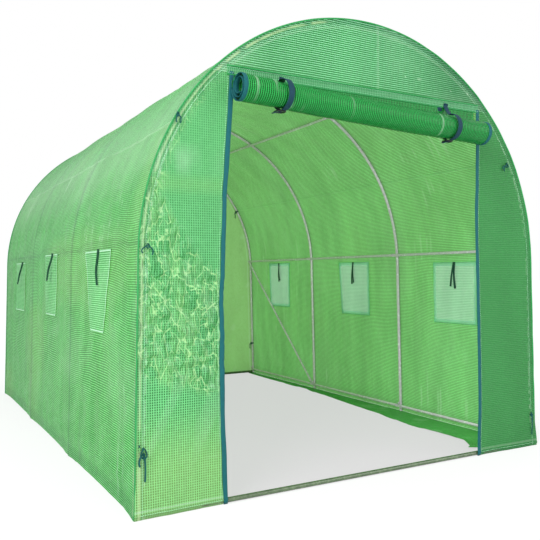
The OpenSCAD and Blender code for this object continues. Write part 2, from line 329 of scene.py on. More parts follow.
class Tree:
    """A material's nodes. Values are sockets or plain numbers and colours."""

    def __init__(self, name):
        self.material = bpy.data.materials.new(name)
        self.material.use_nodes = True
        self.nodes = self.material.node_tree.nodes
        self.links = self.material.node_tree.links
        self.nodes.clear()

    def join(self, value, socket):
        if isinstance(value, bpy.types.NodeSocket):
            self.links.new(value, socket)
        else:
            socket.default_value = value

    def add(self, kind, inputs=(), **settings):
        """A new node's outputs."""
        n = self.nodes.new("ShaderNode" + kind)
        for key, value in settings.items():
            setattr(n, key, value)
        for key, value in dict(inputs).items():
            self.join(value, n.inputs[key])
        return n.outputs

    def math(self, operation, *values):
        return self.add("Math", dict(enumerate(values)), operation=operation)[0]

    def plus(self, a, b):
        return self.math("ADD", a, b)

    def times(self, first, *others):
        for other in others:
            first = self.math("MULTIPLY", first, other)
        return first

    def span(self, value, low, high, to_low=0.0, to_high=1.0, smooth=False):
        """Carries low to high over to to_low to to_high, and holds it there."""
        ends = {"From Min": low, "From Max": high, "To Min": to_low, "To Max": to_high}
        kind = "SMOOTHSTEP" if smooth else "LINEAR"
        return self.add("MapRange", {"Value": value, **ends}, interpolation_type=kind)["Result"]

    def mix(self, share, a, b, blend="MIX"):
        return self.add("Mix", {0: share, 6: a, 7: b}, data_type="RGBA", blend_type=blend)[2]

    def where(self):
        return self.add("TexCoord")["Object"]

    def split(self, vector):
        return self.add("SeparateXYZ", {0: vector})

    def noise(self, where, scale, detail=3.0):
        return self.add("TexNoise", {"Vector": where, "Scale": scale, "Detail": detail})[0]

    def raised(self, height, strength, distance, **normal):
        """The normal of a surface raised by height times distance, in metres."""
        inputs = {"Strength": strength, "Distance": distance, "Height": height, **normal}
        return self.add("Bump", inputs)[0]

    def surface(self, colour, roughness, normal, **more):
        inputs = {"Base Color": colour, "Roughness": roughness, "Normal": normal}
        inputs.update((key.replace("_", " "), value) for key, value in more.items())
        return self.add("BsdfPrincipled", inputs)[0]

    def blend(self, share, a, b):
        return self.add("MixShader", {"Fac": share, 1: a, 2: b})[0]

    def close(self, shader):
        self.add("OutputMaterial", {"Surface": shader})
        return self.material


PITCH = 0.009  # from one reinforcing thread to the next
# Crumpled cloth: DEEP is painted shade on facets and in the grooves, LIT painted light on facets, CREASE the
# pale fold lines, whitened cloth with painted highlight.
DEEP, LIT, CREASE = rgb("#0c7a38"), rgb("#b0e898"), rgb("#c8f8b4")  # crumpled cloth's colours


def thread(t, position, width):
    """1 on the threads and 0 between them."""
    away = t.math("ABSOLUTE", t.math("SUBTRACT", t.math("FRACT", t.math("DIVIDE", position, PITCH)), 0.5))
    return t.span(away, 0.5 - 0.9 * width, 0.5 - 0.45 * width, smooth=True)


def crinkle(t, where, scale, turn):
    """Distance to the nearest crease and a random value per facet, for cloth crushed in a bag."""
    drift = t.add("TexNoise", {"Vector": where, "Scale": 30.0, "Detail": 2.0})["Color"]
    push = t.add("VectorMath", {0: drift, 3: 0.007}, operation="SCALE")[0]
    bent = t.add("VectorMath", {0: where, 1: push}, operation="ADD")[0]
    lie = {"Vector": bent, "Rotation": (0.0, turn, 0.0), "Scale": (1.0, 1.0, 0.36)}
    cells = {"Vector": t.add("Mapping", lie)[0], "Scale": scale}
    edge = t.add("TexVoronoi", cells, feature="DISTANCE_TO_EDGE")["Distance"]
    return edge, t.add("SeparateColor", {0: t.add("TexVoronoi", cells)["Color"]})[0]


def fabric(name, colours, open_share=0.5, gloss=0.34, second=0.4, shine=0.2, hang=0.06, fade=0.0,
           packed=False):
    """Reinforced sheet: pale threads both ways between two films, part of its light let through.

    colours are the cell's and the thread's as lit from the front, then the same as lit from behind;
    the threads' pale colour is partly their own and partly painted highlight on the ribs.
    second is how much the cross threads show, hang the strength of upright streaks of painted fold
    shading, and fade how far the threads lose contrast with height. packed cloth has creases where the
    fourth mark says, with painted light and shade on its facets and painted shadow beside the creases.
    """
    cell, pale_thread, through, thread_through = (rgb(c) for c in colours.split())
    t = Tree(name)
    uv = t.split(t.add("UVMap", uv_map="Weave")[0])
    where = t.where()
    weave = t.math("MAXIMUM", thread(t, uv[0], 0.32), t.times(thread(t, uv[1], 0.28), second))
    mark = t.add("Attribute", attribute_name="MarksAndPaintedLight")
    pale, dark, warm = t.add("SeparateColor", {0: mark["Color"]})
    fine = t.noise(where, 40.0)
    shade = t.span(t.noise(where, 2.3, 4.0), 0.3, 0.7, 0.94, 1.03)
    shade = t.plus(shade, t.span(fine, 0.25, 0.75, -0.02, 0.02))
    # Upright streaks: painted light and shade of long vertical folds.
    upright = t.add("Mapping", {0: where, "Scale": (5.0, 9.0, 1.6)})[0]
    shade = t.plus(shade, t.span(t.noise(upright, 1.0, 4.0), 0.32, 0.68, -hang, hang))
    grey = t.add("CombineColor", {0: shade, 1: shade, 2: shade})[0]
    catch = t.times(weave, t.span(t.noise(where, 70.0, 2.0), 0.4, 0.6, 0.86, 1.0))
    if fade:
        even = t.span(t.split(where)[2], 0.2, 1.3, 0.0, fade)
        catch = t.plus(catch, t.times(even, t.math("SUBTRACT", 0.5, catch)))
    colour = t.mix(1.0, t.mix(catch, cell, pale_thread), grey, "MULTIPLY")
    behind = t.mix(1.0, t.mix(catch, through, thread_through), grey, "MULTIPLY")
    under = {}
    if packed:
        bag, line = mark["Alpha"], t.span(t.noise(where, 30.0, 2.0), 0.42, 0.5)
        rises = []
        # Crumpled facets: painted light and shade by facet, painted shadow in the grooves beside the creases,
        # pale crease lines with painted highlight.
        for scale, gain, turn in ((24.0, 1.0, -0.6), (36.0, 0.8, 0.7)):
            edge, facet = crinkle(t, where, scale, turn)
            crease = t.times(t.span(edge, 0.012, 0.038, 0.8 * gain, 0.0), line, bag)
            groove = t.times(t.span(edge, 0.045, 0.07), t.span(edge, 0.08, 0.13, 0.26, 0.0), bag)
            lit = t.times(t.span(facet, 0.5, 0.95, 0.0, 0.24 * gain), bag)
            low = t.times(t.span(facet, 0.05, 0.45, 0.1 * gain, 0.0), bag)
            for share, tint in ((low, DEEP), (lit, LIT), (groove, DEEP), (crease, CREASE)):
                colour = t.mix(share, colour, tint)
            behind = t.mix(crease, behind, rgb("#b4dc90"))
            rises.append(t.times(edge, gain, bag))
        under["Normal"] = t.raised(t.plus(*rises), 1.0, 0.02)
    # Marks: dark brings painted shade (tube shadows seen through the cloth, facet and underside shade) as
    # well as darker tone at random; warm and pale bring painted highlights and sheen as well as the cloth's
    # own paler and yellower tone.
    colour = t.mix(t.times(dark, 0.6), colour, rgb("#176a36"))
    colour = t.mix(warm, colour, rgb("#cdea8c"))
    colour = t.mix(pale, colour, rgb("#dcf6de"))
    behind = t.mix(t.times(dark, 0.6), behind, rgb("#144f28"))
    behind = t.mix(t.times(pale, 0.6), behind, rgb("#d0f0c8"))
    normal = t.raised(t.plus(weave, t.times(t.noise(where, 140.0, 2.0), 0.3)), 0.8, 0.0013, **under)
    roughness = t.span(t.plus(fine, t.times(weave, -0.2)), 0.2, 0.8, gloss - 0.08, gloss + 0.16)
    front = t.surface(colour, roughness, normal, Specular_IOR_Level=shine)
    back = t.add("BsdfTranslucent", {"Color": behind, "Normal": normal})[0]
    return t.close(t.blend(open_share, front, back))


def woven_tape(name, low, high, scale=900.0, roughness=0.6):
    """Narrow woven tape with fine ribs across it."""
    t = Tree(name)
    where = t.where()
    ribs = {"Vector": where, "Scale": scale / 6.283, "Distortion": 1.2, "Detail": 1.0}
    wave = t.add("TexWave", ribs, bands_direction="DIAGONAL")["Fac"]
    fleck = t.noise(where, 260.0)
    colour = t.mix(t.span(fleck, 0.3, 0.7), rgb(low), rgb(high))
    colour = t.mix(t.times(wave, 0.25), colour, rgb(high))
    normal = t.raised(t.plus(wave, t.times(fleck, 0.6)), 0.6, 0.0006)
    grain = t.span(fleck, 0.2, 0.8, roughness - 0.1, roughness + 0.12)
    return t.close(t.surface(colour, grain, normal, Specular_IOR_Level=0.25, Sheen_Weight=0.03))


def steel(name, low, high, stain, metallic, painted_outer_shade=0.0):
    """Galvanised tube: pale, with duller spots and stains, and painted green shade on the side that faces out
    towards the cover.
    """
    t = Tree(name)
    where = t.where()
    spots = t.noise(where, 60.0, 4.0)
    colour = t.mix(t.span(spots, 0.35, 0.7), rgb(low), rgb(high))
    colour = t.mix(t.span(t.noise(where, 5.0, 2.0), 0.5, 0.75, 0.0, 0.35), colour, rgb(stain))
    if painted_outer_shade:
        tube = t.add("NewGeometry")
        at = t.split(tube["Position"])
        above = t.math("MAXIMUM", t.math("SUBTRACT", at[2], ARCH_Z), 0.0)
        outward = t.add("CombineXYZ", {0: at[0], 2: above})[0]
        outward = t.add("VectorMath", {0: outward}, operation="NORMALIZE")[0]
        facing = t.add("VectorMath", {0: outward, 1: tube["Normal"]}, operation="DOT_PRODUCT")["Value"]
        # Painted shade: the side of the tube facing the cover is darkened to green.
        colour = t.mix(t.span(facing, -0.1, 0.75, 0.0, painted_outer_shade), colour, rgb("#245c2c"))
    normal = t.raised(t.noise(where, 300.0, 2.0), 0.2, 0.0003)
    gloss = t.span(spots, 0.3, 0.75, 0.2, 0.3)
    return t.close(t.surface(colour, gloss, normal, Metallic=metallic, Specular_IOR_Level=0.9))


def moulded(name, low, high, roughness):
    """Matt moulded plastic or sewing thread with a fine grain."""
    t = Tree(name)
    grain = t.noise(t.where(), 420.0, 2.0)
    colour = t.mix(t.span(grain, 0.3, 0.7), rgb(low), rgb(high))
    return t.close(t.surface(colour, roughness, t.raised(grain, 0.3, 0.0004)))


COVER = fabric("cover_fabric", "#004c10 #84f8a0 #84e068 #c4ffb0", 0.43, 0.34, 0.3, hang=0.09)
LEFT_COVER = fabric("left_cover_fabric", "#003c04 #88ff9c #50c038 #c8ffa8", 0.43, 0.34, 0.3, hang=0.09,
                    fade=0.45)
RIGHT_COVER = fabric("right_cover_fabric", "#246c30 #88f09c #96e87e #b2fa9e", 0.43, 0.34, 0.3, hang=0.1)
BACK = fabric("back_fabric", "#14983a #a8e8a8 #b0f488 #ccfcac")
FRONT = fabric("front_fabric", "#004418 #88e8a0 #44a03c #90dc84", 0.4, 0.24, 0.9, 0.35, fade=0.6, packed=True)
ARCH = fabric("half_moon_fabric", "#006c30 #a4f0c0 #64bc68 #98e09c", 0.45, 0.3, 0.2)
# A darker, flatter copy of the front cloth: painted shade on the right front panel.
FRONT_RIGHT = fabric("front_right_fabric", "#3a884a #579f66 #539a5a #64ac64", 0.4, 0.5)
ROLL = fabric("rolled_fabric", "#004410 #2cac50 #0c7428 #28983c", 0.1, 0.24, 0.3)
FLAP = fabric("flap_fabric", "#44a44c #78c878 #68b068 #80c880", 0.1, 0.45)
WINDOW = fabric("window_fabric", "#4cb464 #a8ecb8 #a8e4b4 #d0f8d4", 0.6, 0.5)
WINDOW_LEFT = fabric("left_window_fabric", "#0c8c34 #b0fcbc #88dc80 #b8fcac", 0.4, 0.4)
EDGING = fabric("window_edging", "#98e4ac #c8ffd4 #98e0a0 #b0f0b0", 0.15, 0.4)
BORDER = fabric("window_border", "#b0f0dc #d8fff4 #d8fff8 #f0fffc", 0.86, 0.5)
BAND = fabric("band_fabric", "#188844 #60bc80 #48a858 #70c074", 0.3, 0.3)
BINDING = woven_tape("binding_tape", "#02484e", "#066064")
STRAP = woven_tape("strap_webbing", "#012838", "#043c4c", 700.0)
TIE = woven_tape("tie_tape", "#143c34", "#28584c", 700.0)
OUTER_TIE = woven_tape("outer_tie_tape", "#02301c", "#084c30", 700.0)
TEAL_TIE = woven_tape("hoop_tie_tape", "#043c3c", "#0a5c54", 700.0)
PIPING = woven_tape("piping_cloth", "#1c7c3c", "#349c54", 500.0, 0.5)
STEEL = steel("galvanised_tube", "#ecccf0", "#fce8ff", "#dcc4e0", 0.1, painted_outer_shade=0.8)
# The ground bars' dark olive colour is painted shade and a painted reflection of the green sheet.
BAR_STEEL = steel("ground_bar_tube", "#4c5e44", "#66785a", "#47503c", 0.3)
BUCKLE = moulded("buckle_plastic", "#101214", "#1c2022", 0.35)
THREAD = moulded("seam_thread", "#98dcb0", "#c4f0d0", 0.5)


# ---- camera, light and floor ----

YAW, PITCH_UP, ROLL_OVER = radians(29.497), radians(0.388), radians(-0.383)
CAMERA_PLACE = (-1.7875, -3.736, 0.8651)
LAMPS = (  # name, place, aim, size and watts
    ("key", (-5.5, -4.5, 5.0), (0, 0, 0.9), 3.5, 420),
    ("fill", (4.5, -6.0, 3.0), (0, -1, 0.9), 4.0, 100),
    ("doorway", (-0.9, -6.0, 1.3), (0.2, 0.8, 1.0), 1.0, 60),
)


def add_camera():
    data = bpy.data.cameras.new("camera")
    data.sensor_width, data.lens = 36, 45.0
    camera = add_object("camera", data)
    look = Vector((sin(YAW) * cos(PITCH_UP), cos(YAW) * cos(PITCH_UP), sin(PITCH_UP)))
    right = Vector((cos(YAW), -sin(YAW), 0))
    up = right.cross(look)
    x = right * cos(ROLL_OVER) + up * sin(ROLL_OVER)
    y = up * cos(ROLL_OVER) - right * sin(ROLL_OVER)
    camera.matrix_world = Matrix.Translation(CAMERA_PLACE) @ Matrix((x, y, -look)).transposed().to_4x4()
    bpy.context.scene.camera = camera


def add_lamp(name, place, aim, size, power):
    data = bpy.data.lights.new(name, "AREA")
    data.size, data.energy = size, power
    lamp = add_object(name, data)
    lamp.location = place
    lamp.rotation_euler = (Vector(aim) - Vector(place)).to_track_quat("-Z", "Y").to_euler()


def add_world():
    """Soft light from all round, and plain white where the camera looks past the object."""
    world = bpy.data.worlds.new("studio")
    bpy.context.scene.world = world
    world.use_nodes = True
    nodes, links = world.node_tree.nodes, world.node_tree.links
    nodes.clear()
    path, mix, out = (nodes.new("ShaderNode" + kind) for kind in ("LightPath", "MixShader", "OutputWorld"))
    links.new(path.outputs["Is Camera Ray"], mix.inputs[0])
    for socket, colour, strength in ((1, (0.97, 0.985, 1, 1), 0.76), (2, (1, 1, 1, 1), 1.0)):
        light = nodes.new("ShaderNodeBackground")
        light.inputs["Color"].default_value = colour
        light.inputs["Strength"].default_value = strength
        links.new(light.outputs[0], mix.inputs[socket])
    links.new(mix.outputs[0], out.inputs[0])


def add_floor():
    """Plain pale floor that the camera sees nearly white, with the object's shadow, and painted shade inside:
    a dimmer glow and a pinkish tint over the tunnel's footprint.
    """
    t = Tree("studio_floor")
    ray = t.add("LightPath")["Is Camera Ray"]
    spot = t.split(t.add("NewGeometry")["Position"])
    off_x = t.math("ABSOLUTE", spot[0])
    off_y = t.math("ABSOLUTE", t.math("SUBTRACT", spot[1], (HOOP_Y[0] + HOOP_Y[3]) / 2))
    # The tunnel's footprint, where the floor gets painted shade.
    shaded = t.times(t.span(off_x, 0.96, 1.02, 1.0, 0.0), t.span(off_y, 1.47, 1.495, 1.0, 0.0))
    far = t.math("MAXIMUM", t.span(off_x, 1.2, 3.0), t.span(off_y, 1.7, 3.4))
    plain = t.add("BsdfDiffuse", {"Color": t.mix(shaded, rgb("#f2f2f2"), rgb("#f6e6f6"))})[0]
    strength = t.span(shaded, 0.0, 1.0, 1.04, 0.715)
    glow = t.add("Emission", {"Color": (1, 1, 1, 1), "Strength": strength})[0]
    share = t.times(ray, t.math("MAXIMUM", t.span(far, 0.0, 1.0, 0.7, 1.0), t.times(shaded, 0.84)))
    material = t.close(t.blend(share, plain, glow))
    size = 60
    corners = [(-size, -size, 0), (size, -size, 0), (size, size, 0), (-size, size, 0)]
    add_mesh("floor", corners, [(0, 1, 2, 3)], material, smooth=False)


add_camera()
add_world()
add_floor()
for lamp in LAMPS:
    add_lamp(*lamp)


# ---- sheets over the hoops ----

PURLIN_Z = ARCH_Z + ARCH_R * sin(SIDE_PURLIN_A)
ROOF_PURLIN_G = (pi / 2 - ROOF_PURLIN_A) * COVER_R
COVER_SEED = {-1: 11, 1: 31}  # for each side's wrinkles


def cover_out(side, girth, y):
    """How far the cover stands outside its place: sag between hoops, folds, and a kicked-out foot."""
    free = between_hoops(y)
    z = section(girth)[1]
    wall = ramp(np.abs(girth), JOINT_G - 0.25, JOINT_G + 0.1)
    seed = COVER_SEED[side]
    sag = -(0.006 + 0.003 * wall) * free
    along = rough(girth, y, 0.34, seed) * 0.006
    upright = noise(y / 0.045, girth / 0.6, seed + 5) * 0.0036 * wall
    tension = noise((y + 0.55 * girth) / 0.065, (girth - 0.4 * y) / 0.8, seed + 6) * 0.0032
    creased = crumple(girth, y, 0.11, seed + 7) * 0.0034
    folds = (along + tension + upright + creased) * (0.15 + 0.85 * free) + 0.0022 * (1 - free)
    near_ground = ramp(-z, -0.16, -0.02)
    crease = 0.007 * bump(z, 0.105 + 0.012 * noise(y / 0.4, y * 0, seed + 8), 0.03) * free
    flare = bump(y, FRONT_Y, 0.2) * ramp(-z, -0.16, 0.0) * (0.003 if side < 0 else 0.01)
    total = sag + folds - 0.008 * near_ground * free + crease + flare
    return np.where(total < 0, -MOST_INWARD * np.tanh(-total / MOST_INWARD), total)


def cover_marks_and_light(side, girth, y):
    """Pale, dark and yellow shares of the cover's cloth: tone at random, painted shadows of the hoops, rails
    and roof purlin seen through it, painted light and shade on its facets, pale streaks that are whitened
    creases with painted highlight, and a painted sheen on the left.
    """
    seed = COVER_SEED[side]
    z, away = section(girth)[1], np.abs(girth)
    wander = 0.004 * noise(girth / 0.2, girth * 0, seed)
    # Painted shadows of the inner and back hoops, the side purlin and the ground rail, seen through the
    # cloth.
    hoop = sum(bump(y, h + wander, 0.019) for h in HOOP_Y[1:3]) + 0.8 * bump(y, HOOP_Y[3], 0.016)
    rail_shadow = 0.35 * bump(z, PURLIN_Z, 0.009) * (away > JOINT_G - 0.2) + 0.25 * bump(z, 0.05, 0.02)
    # Facet leans, for painted light and shade on the cloth's facets.
    lean, lie = facets(girth, y, 0.11, seed + 7), facets(0.35 * girth, y, 0.13, seed + 16)
    # Pale streaks: creases whitened in the cloth, with painted highlight.
    streak = ramp(noise(y / 0.008, girth / 0.3, seed + 12), 0.6, 0.95)
    streak = streak * ramp(noise(y / 0.22, girth / 0.35, seed + 13), 0.25, 0.6)
    broad = rough(girth, y, 0.4, seed + 14)
    front_edge = bump(y, FRONT_Y + 0.012, 0.012) * ramp(noise(girth / 0.03, y * 0, seed + 17), -0.2, 0.4)
    pale = (0.06 * ramp(lean, 0.2, 1.6) + 0.04 * ramp(lie, 0.2, 1.6) + 0.6 * streak
            + 0.10 * ramp(broad, 0.0, 0.6) + 0.4 * bump(away, WELD_G, 0.006))
    # Dark adds the painted shadows, the roof purlin's too, and painted facet shade to darker tone at random.
    dark = (0.6 * hoop + rail_shadow + 0.3 * bump(away, ROOF_PURLIN_G, 0.014) + 0.10 * ramp(-lean, 0.3, 1.8)
            + 0.06 * ramp(-lie, 0.3, 1.6) + 0.08 * ramp(-broad, 0.0, 0.6))
    yellow = 0.14 * ramp(noise(y / 0.5, girth / 0.4, seed + 15), 0.1, 0.7) + 0.5 * front_edge
    # Painted sheen on the left side, up high and towards the back.
    sheen = (girth < 0) * (0.06 * ramp(y, FRONT_Y + 0.2, FRONT_Y + 1.6) + 0.24 * bump(z, 1.42, 0.3))
    calm = 1.0 if side < 0 else 0.6
    return calm * pale + sheen + 0.3 * front_edge, dark * calm, yellow * calm


HUNG = {  # how each bay's window hangs, from its place in the CAD
    # shift along the wall, half width at top and sill, rise of top and sill, slant
    -1: [(0.05, 0.20, 0.10, 0.03, 0.03, 0.0), (0.0, 0.155, 0.125, 0.04, 0.055, 0.0),
         (-0.03, 0.17, 0.15, 0.01, 0.04, 0.0)],
    1: [(0.005, 0.17, 0.165, -0.012, -0.02, 0.01), (-0.03, 0.172, 0.16, 0.005, -0.012, -0.01),
        (-0.005, 0.165, 0.155, 0.016, 0.005, 0.0)],
}


def window_warp(side, y, z):
    """Carries the cut's even window places to where the windows hang, fading out round them."""
    new_y, new_z = y.copy(), z.copy()
    for mid, (shift, top_half, sill_half, top_rise, sill_rise, slant) in zip(BAY_MID, HUNG[side]):
        top, sill = WINDOW_HIGH.z + top_rise, WINDOW_LOW.z + sill_rise
        u = (y - mid) / WINDOW_HALF
        v = (WINDOW_HIGH.z - z) / (WINDOW_HIGH.z - WINDOW_LOW.z)
        reach = ramp(-np.abs(u), -2.4, -1.0) * ramp(-np.abs(v - 0.5), -1.3, -0.5)
        level, inner = np.clip(v, -0.3, 1.3), np.clip(u, -1.5, 1.5)
        half = top_half + (sill_half - top_half) * level
        to_y = mid + shift + inner * half + slant * level + (u - inner) * WINDOW_HALF
        new_y += reach * (to_y - y)
        new_z += reach * (top + (sill - top) * v - z)
    return new_y, new_z


def wall_place(side, girth, y, out):
    """Where a point of the side's cloth is, so far outside it."""
    g, z = np.abs(girth), section(girth)[1]
    warped_y, warped_z = window_warp(side, y, z)
    g = g - (warped_z - z) / cos(LEAN)
    x, z = section(side * g, cover_out(side, g, warped_y) + out)
    return x, warped_y, np.maximum(z, GROUND)


WINDOW_G = (wall_girth(WINDOW_HIGH.z), wall_girth(WINDOW_LOW.z))
HOLE_G = (WINDOW_G[0] + WINDOW_LAP, WINDOW_G[1] - WINDOW_LAP)
HOLE_HALF = WINDOW_HALF - WINDOW_LAP


def add_side_sheet(side):
    """From the weld at the roof down to the ground, with three holes for the windows."""
    name = SIDE_NAMES[side]
    girths = lines(WELD_G - WELD_LAP, FOOT_G, MESH_STEP, *HOLE_G)
    edges = [m + way * HOLE_HALF for m in BAY_MID for way in (-1, 1)]
    along = lines(FRONT_Y, BACK_Y, MESH_STEP, *edges, *HOOP_Y)
    g, y = (girths[1:] + girths[:-1]) / 2, (along[1:] + along[:-1]) / 2
    beside = np.min([np.abs(y - m) for m in BAY_MID], axis=0) < HOLE_HALF
    in_hole = ((g > HOLE_G[0]) & (g < HOLE_G[1]))[:, None] & beside[None, :]

    def place(girth, at_y):
        return wall_place(side, side * girth, at_y, 0.0012 * ramp(-girth, -WELD_G - 0.01, -WELD_G))

    def marks_and_light(girth, at_y):
        warped_y, warped_z = window_warp(side, at_y, section(girth)[1])
        return cover_marks_and_light(side, side * np.where(girth > JOINT_G, wall_girth(warped_z), girth), warped_y)

    sheet = add_sheet(f"{name}_side_sheet", girths, along, place, LEFT_COVER if side < 0 else RIGHT_COVER,
                      marks_and_light=marks_and_light, keep=~in_hole, flip=side < 0)
    finish_piece(sheet, "cover_sheet", f"{name}_wall_cover", f"{name}_shoulder_cover")


def add_roof_sheet():
    girths = lines(-WELD_G - WELD_LAP, WELD_G + WELD_LAP, MESH_STEP, 0)
    along = lines(FRONT_Y, BACK_Y, MESH_STEP, *HOOP_Y)

    def place(girth, y):
        blend = ramp(girth, -0.3, 0.3)
        rise = cover_out(-1, girth, y) * (1 - blend) + cover_out(1, girth, y) * blend
        lap = -0.0009 * ramp(np.abs(girth), WELD_G - 0.02, WELD_G - 0.01)
        x, z = section(girth, rise + lap)
        return x, y, z

    sheet = add_sheet("roof_sheet", girths, along, place, COVER, marks_and_light=lambda a, b: cover_marks_and_light(1, a, b))
    finish_piece(sheet, "cover_sheet", "left_roof_cover", "right_roof_cover", "crown_cover")


for way in (-1, 1):
    add_side_sheet(way)
add_roof_sheet()


def edge_of(side, z, y):
    """x of the cover's edge at height z, at an end wall."""
    z = np.asarray(z, float)
    share = np.clip((z - ARCH_Z) / COVER_R, -1, 1)
    girth = np.where(share > sin(LEAN), (pi / 2 - np.arcsin(share)) * COVER_R, wall_girth(z))
    x, _ = section(side * girth, cover_out(side, girth, y + 0 * girth))
    return np.where(share > 0.9, side * half_width(z), x)


# ---- windows ----

BORDER_INSET = 0.001


def add_window(side, i):
    """A panel over its hole, with a border sewn on both faces, tapes inside and one outside."""
    name, mid, left = f"{SIDE_NAMES[side]}_window_{i + 1}", BAY_MID[i], side < 0
    seed = 60 + 10 * i + (5 if left else 0)
    slack = 0.007 if left else 0.003
    shift, top_rise = HUNG[side][i][0], HUNG[side][i][3]

    def panel_out(girth, y):
        u, v = (y - mid) / WINDOW_HALF, (girth - WINDOW_G[0]) / (WINDOW_G[1] - WINDOW_G[0])
        loose = (1 - u * u) * (0.3 + 0.7 * v)
        billow = slack * loose * (0.6 + 0.6 * noise(u * 1.4, v * 1.6, seed))
        return 0.0024 + billow + 0.0012 * crumple(girth, y, 0.06, seed + 1) * (1 - u**4)

    def place(girth, y):
        return wall_place(side, side * girth, y, panel_out(girth, y))

    girths, along = lines(*WINDOW_G, 0.008), lines(mid - WINDOW_HALF, mid + WINDOW_HALF, 0.008)
    panel = add_sheet(
        f"{name}_panel", girths, along, place, WINDOW_LEFT if left else WINDOW, flip=left,
        marks_and_light=lambda a, b: (0.12 * ramp(rough(a, b, 0.1, seed + 2), 0.0, 0.6), 0, 0))
    finish_piece(panel, "window_mesh", *([f"{SIDE_NAMES[side]}_windows"] if i == 0 else []))

    def border(label, width, out):
        """Strips along the four edges, on the sheet's inside or on the panel's outside."""
        top, sill = WINDOW_G[0] + BORDER_INSET, WINDOW_G[1] - BORDER_INSET
        low, high = mid - WINDOW_HALF + BORDER_INSET, mid + WINDOW_HALF - BORDER_INSET
        runs = [((top, top + width), (low, high)), ((sill - width, sill), (low, high)),
                ((top, sill), (low, low + width)), ((top, sill), (high - width, high))]
        lots, marks = [], []
        for (g0, g1), (y0, y1) in runs:
            A, B = np.meshgrid(lines(g0, g1, 0.009), lines(y0, y1, 0.009), indexing="ij")
            base = panel_out(A, B) if out > 0 else -0.0010
            faces = grid_faces(*A.shape)
            lots.append((pile(*wall_place(side, side * A, B, base + out)).reshape(-1, 3),
                         faces[:, ::-1] if left else faces))
            marks.append(pile(A, B).reshape(-1, 2))
        points, faces = joined(lots)
        marks_and_light = np.tile([0.25, 0.0, 0.0], (len(points), 1))
        material = EDGING if left else BORDER
        piece = add_mesh(f"{name}_{label}", points, faces, material, np.concatenate(marks), marks_and_light)
        finish_piece(piece, "window_mesh")

    border("inner_border", 0.007 if left else 0.022, -0.0016)
    border("outer_border", 0.007 if left else 0.005, 0.0012)

    def tape(label, length, out, lean, curl, width, start=0.0, along=0.0, away=0.0):
        """A tape hanging from the window's head; it leans along the wall and swings away from it."""
        s = np.linspace(0, 1, 15)
        g = WINDOW_G[0] - 0.004 + start + s * length * cos(lean)
        y = mid + shift + along + s * length * sin(lean)
        swing = away * s**1.4 + curl * np.sin(s * pi * 0.9) ** 2
        x, z = section(side * g, out + swing + cover_out(side, g, y))
        outside = out > 0
        turn = 0.95 + 0.35 * np.sin(s * 4) if outside else 0.3 * np.sin(s * 3)
        across = pile(side * np.sin(turn) * (1.0 if outside else 0.5), np.cos(turn), 0)
        piece = add_lots(
            f"{name}_{label}", [sweep(pile(x, y, z + top_rise), across, oval(width, 0.0012, 8))],
            OUTER_TIE if outside else TIE, "strap",
            *(["window_ties"] if (side, i, label) == (-1, 0, "outer_tape") else []))

    lean_a, lean_b = [(-0.02, 0.2), (0.1, -0.05), (0.03, -0.12)][i]
    tape("inner_tape_a", 0.15, -0.0045, lean_a, -0.004, 0.018, start=0.006)
    tape("inner_tape_b", 0.14, -0.007, lean_b, -0.003, 0.016, start=0.006)
    swung = [(0.0, -0.03, 0.004), (0.25, -0.06, 0.022), (0.3, -0.09, 0.022)][i] if left else (0, 0, 0)
    tape("outer_tape", 0.153, 0.0085, swung[0], 0.006, 0.0105, along=swung[1], away=swung[2])


for way in (-1, 1):
    for bay in range(3):
        add_window(way, bay)


# ---- end sheets ----

JAMB_HANG = {  # a jamb's place in the CAD, then heights and shifts along x
    -1: (JAMB_LEFT, [0, 0.3, 0.77, 1.2, 1.45, HEAD_Z], [-0.024, -0.034, -0.038, -0.019, 0.0, 0.013]),
    1: (JAMB_RIGHT, [0, 0.2, 0.39, 0.8, 1.1, 1.24, 1.47, HEAD_Z],
        [-0.004, 0.004, 0.007, -0.002, -0.008, -0.003, 0.003, 0.004]),
}
CRUSH = (0.085, 91)  # facet size and seed of the crumpled front cloth


def jamb_x(side, z):
    """The doorway's edge as it hangs, from the ground to the head."""
    base, heights, shift = JAMB_HANG[side]
    soft = np.interp(z, heights, shift)
    nearby = sum(np.interp(z + d, heights, shift) for d in (-0.06, -0.03, 0.03, 0.06))
    return base + (soft + nearby) / 5 + 0.0012 * noise(z / 0.09, z * 0, 5)


def edge_in(x, z):
    """How far a place on an end wall is inside the cover's edge."""
    return half_width(np.minimum(z, COVER_TOP)) - np.abs(x)


def packed_zone(x, z):
    """1 where the left front panel is badly crumpled, from the corner down and across to the doorway."""
    upper = np.interp(x, [-1.0, -0.95, -0.87, -0.78, -0.68], [1.22, 1.19, 1.04, 0.92, 0.84])
    lower = np.interp(x, [-1.0, -0.7], [0.50, 0.41]) + 0.02 * noise(x / 0.06, z * 0, 90)
    return ramp(z, lower - 0.03, lower + 0.03) * ramp(-z, -upper - 0.04, -upper + 0.03) * (x < 0)


def slanting(x, z):
    """Noise in long folds that slant down to the doorway."""
    return noise((x - 0.5 * z) / 0.05, (z + 0.5 * x) / 0.5, 95)


